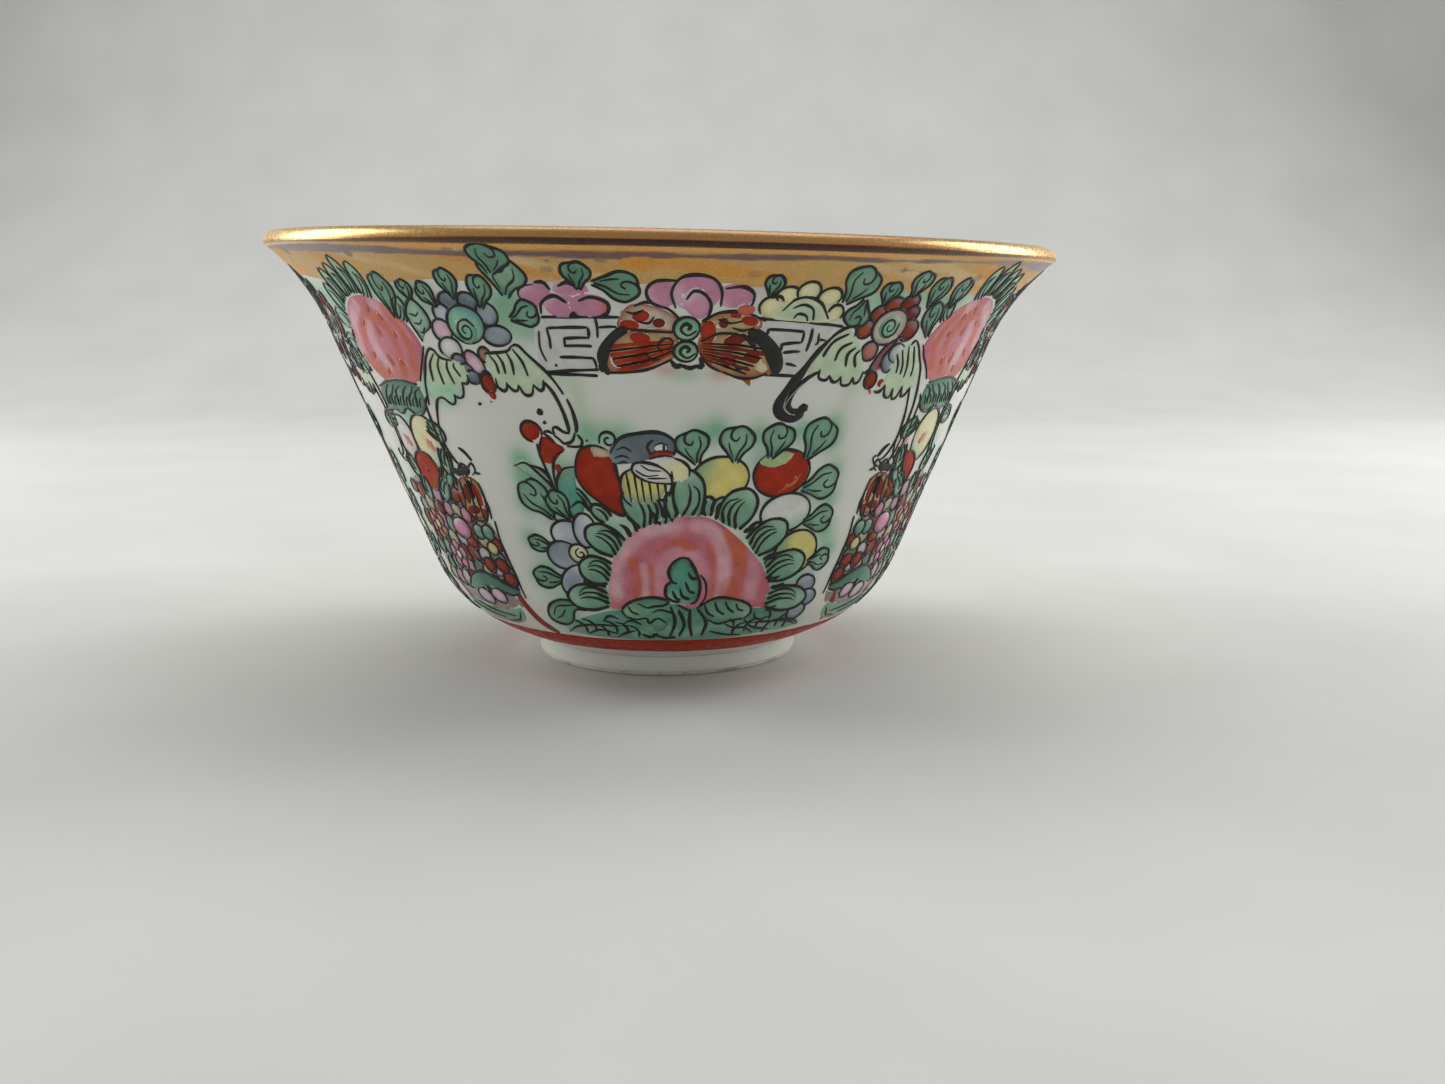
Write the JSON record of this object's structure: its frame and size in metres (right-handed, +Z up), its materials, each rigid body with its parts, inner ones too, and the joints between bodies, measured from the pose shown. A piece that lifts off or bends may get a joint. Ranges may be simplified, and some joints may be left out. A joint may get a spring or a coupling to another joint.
{
  "type": "gaiwan bowl",
  "caption": "Footed porcelain tea bowl with a flared gilt lip, famille rose bird-and-flower panels and flower bands; the cup of a gaiwan.",
  "frame": {"origin": "centre of the foot ring, on the surface that the bowl stands on", "axes": "+Z up through the bowl; the front panel with the bird faces -Y; +X is to the right of someone looking at that panel"},
  "size_m": [0.104, 0.104, 0.0569],
  "materials": {
    "biscuit": "bare fired porcelain, matt and faintly gritty on the foot",
    "white_glaze": "cool white clear glaze, glossy, with a fine ripple",
    "burnished_gold": "fired gold, burnished, pitted and worn on its crest",
    "washed_gold": "thin fired gold wash, half matt, worn to lilac grey lustre in places",
    "rose_enamel": "opaque rose pink enamel shading to white, with orange strokes",
    "lilac_enamel": "lilac pink enamel, glossy",
    "green_enamel": "translucent turquoise green enamel, glossy and pooled",
    "pale_green_enamel": "thin pale green enamel wash",
    "yellow_enamel": "pale yellow enamel shading to green",
    "blue_enamel": "greyed blue enamel",
    "iron_red_enamel": "iron red, thin and low in gloss",
    "black_outline": "brown black drawing under the enamels"
  },
  "bodies": {
    "root": {"porcelain_body": "biscuit", "outer_glaze": "white_glaze", "inner_glaze": "white_glaze", "foot_well_glaze": "white_glaze", "lip_gilding": "burnished_gold", "outer_gold_band": "washed_gold", "inner_gold_band": "washed_gold", "foot_line": "iron_red_enamel", "peony_base_leaves": "green_enamel", "panel_fruits": "yellow_enamel", "panel_birds": "blue_enamel", "grape_clusters": "blue_enamel", "panel_sprays": "green_enamel", "butterflies": "iron_red_enamel", "wing_brackets": "pale_green_enamel", "bracket_drops": "iron_red_enamel", "collar_blossoms": "lilac_enamel", "collar_leaves": "green_enamel", "band_peonies": "rose_enamel", "band_leaves": "green_enamel", "band_fruits": "yellow_enamel", "band_butterflies": "iron_red_enamel", "band_blossoms": "lilac_enamel", "centre_peonies": "rose_enamel", "peony_leaf_rings": "green_enamel", "key_bands": "black_outline", "bracket_frames": "black_outline", "panel_borders": "iron_red_enamel"}
  },
  "joints": []
}
